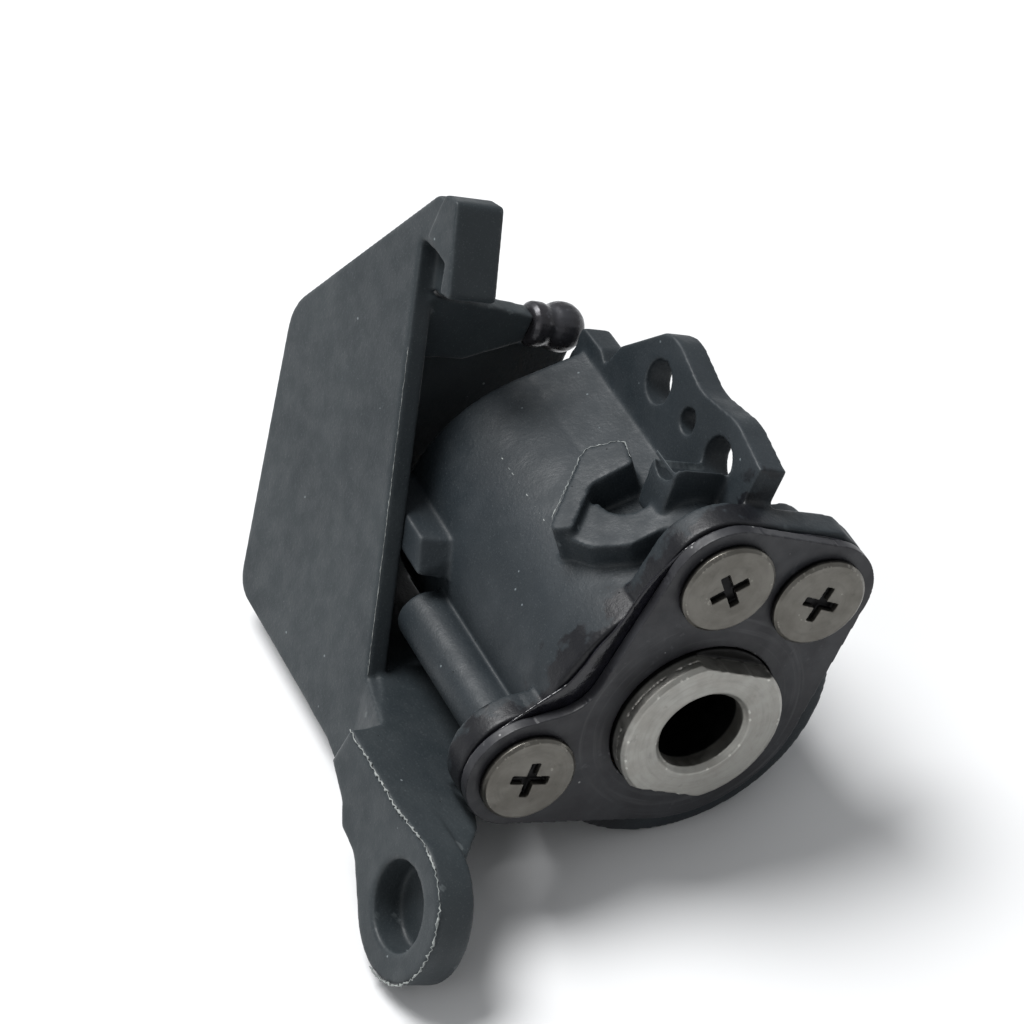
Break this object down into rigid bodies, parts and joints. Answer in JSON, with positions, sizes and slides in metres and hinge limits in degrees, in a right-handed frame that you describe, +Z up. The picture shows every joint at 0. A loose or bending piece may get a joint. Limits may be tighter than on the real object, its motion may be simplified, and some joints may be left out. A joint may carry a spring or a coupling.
{
  "type": "friction tilt hinge unit",
  "caption": "Small die-cast friction hinge with a hollow double-D spindle, an upright mounting flange, a side shield and a ring lug.",
  "frame": {"origin": "middle of the part's box, on the plane the part lies on: the barrel's underside and the ring lug's rear edge both touch that plane", "axes": "+X along the spindle, out of the end plate; +Z up; the side shield and the ring lug face -Y, and the mounting flange stands up and leans towards +Y"},
  "size_m": [0.0368, 0.0284, 0.027],
  "materials": {
    "housing_casting": "as-cast zinc-grey die casting, matt, fine grain",
    "shield_casting": "as-cast die casting, matt, fine grain, pale flash on the edges",
    "plate_black": "black chromate or blackened sheet, scuffed, satin",
    "sealant": "black sealing bead, glossy",
    "seal_rubber": "matt black rubber",
    "screw_plating": "grey zinc plated, satin, edges worn bright",
    "stud_black": "dark plated, semi-gloss",
    "bush_bronze": "sintered bronze",
    "pin_steel": "ground steel",
    "disc_lining": "friction lining, matt",
    "spindle_metal": "satin nickel, fine turned lay, matt mouth face",
    "disc_steel": "ground steel",
    "spring_steel": "oiled spring steel",
    "nut_steel": "zinc plated steel"
  },
  "bodies": {
    "housing_body": {"housing": "housing_casting", "side_shield": "shield_casting", "end_plate": "plate_black", "plate_gasket": "sealant", "dust_seal": "seal_rubber", "screw_lower": "screw_plating", "screw_upper": "screw_plating", "screw_corner": "screw_plating", "ball_stud": "stud_black", "front_bush": "bush_bronze", "rear_bush": "bush_bronze", "stop_pin": "pin_steel", "plain_disc_1": "disc_lining", "plain_disc_2": "disc_lining", "plain_disc_3": "disc_lining"},
    "spindle_body": {"spindle": "spindle_metal", "keyed_disc_1": "disc_steel", "keyed_disc_2": "disc_steel", "keyed_disc_3": "disc_steel", "pressure_washer": "disc_steel", "disc_spring_1": "spring_steel", "disc_spring_2": "spring_steel", "disc_spring_3": "spring_steel", "disc_spring_4": "spring_steel", "clamp_nut": "nut_steel", "stop_ring": "nut_steel", "circlip": "spring_steel"}
  },
  "joints": [
    {"name": "spindle_turn", "type": "hinge", "parent": "housing_body", "child": "spindle_body", "pos_m": [0.01202, 0.00438, 0.008], "axis": [1, 0, 0], "range_deg": [-90, 90]}
  ]
}
